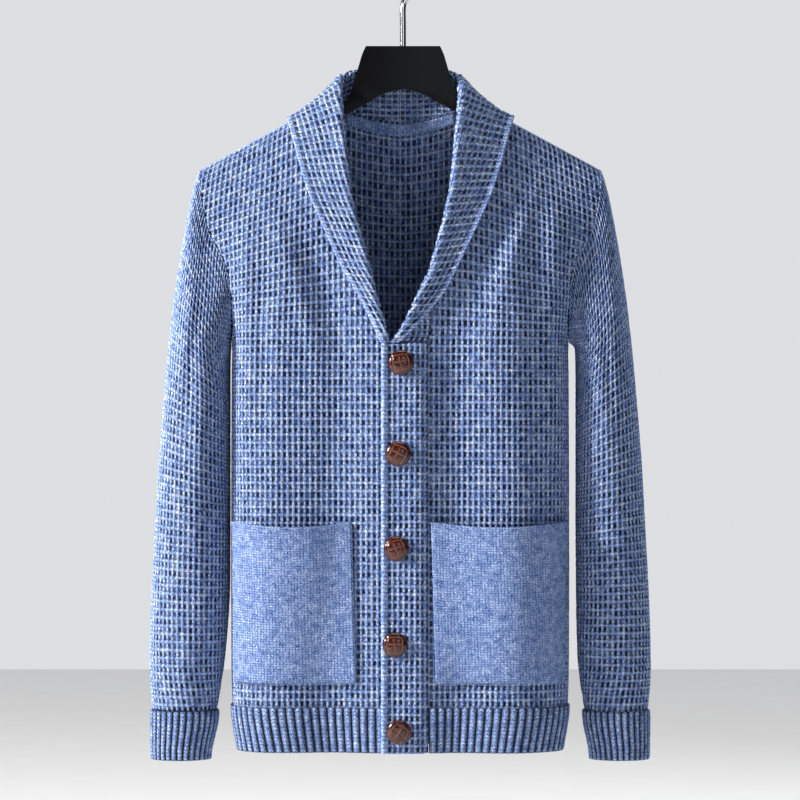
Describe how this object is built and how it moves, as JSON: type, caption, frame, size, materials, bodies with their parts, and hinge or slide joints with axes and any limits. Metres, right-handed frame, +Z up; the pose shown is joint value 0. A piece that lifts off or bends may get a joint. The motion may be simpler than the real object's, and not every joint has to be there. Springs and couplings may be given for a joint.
{
  "type": "shawl collar cardigan on a hanger",
  "caption": "Chunky waffle-knit shawl collar cardigan in heathered blue with patch pockets, ribbed cuffs and hem and brown knot buttons, hung on a black hanger with a chrome hook.",
  "frame": {"origin": "Bearing point inside the top of the hanger's hook, where a rail would carry it; X runs across the shoulders, the front faces -Y and +Z is up.", "axes": "+X to the viewer's right when facing the front, +Y towards the back, +Z up"},
  "size_m": [0.538, 0.1431, 0.8695],
  "materials": {
    "knit": "matte heathered waffle knit",
    "rib": "matte heathered rib knit",
    "jersey": "matte heathered jersey knit",
    "button": "glossy, knotted strips with tan edges",
    "hanger": "satin",
    "hook": "polished"
  },
  "bodies": {
    "root": {"back_panel": "knit", "front_left": "knit", "front_right": "knit", "sleeve_left": "knit", "sleeve_right": "knit", "collar_left": "knit", "collar_right": "knit", "button_band": "knit", "under_band": "knit", "hem_rib_back": "rib", "hem_rib_left": "rib", "hem_rib_right": "rib", "cuff_left": "rib", "cuff_right": "rib", "pocket_left": "jersey", "pocket_right": "jersey", "neck_tape": "jersey", "button_1": "button", "button_2": "button", "button_3": "button", "button_4": "button", "button_5": "button", "hanger": "hanger", "hanger_hook": "hook"}
  },
  "joints": []
}
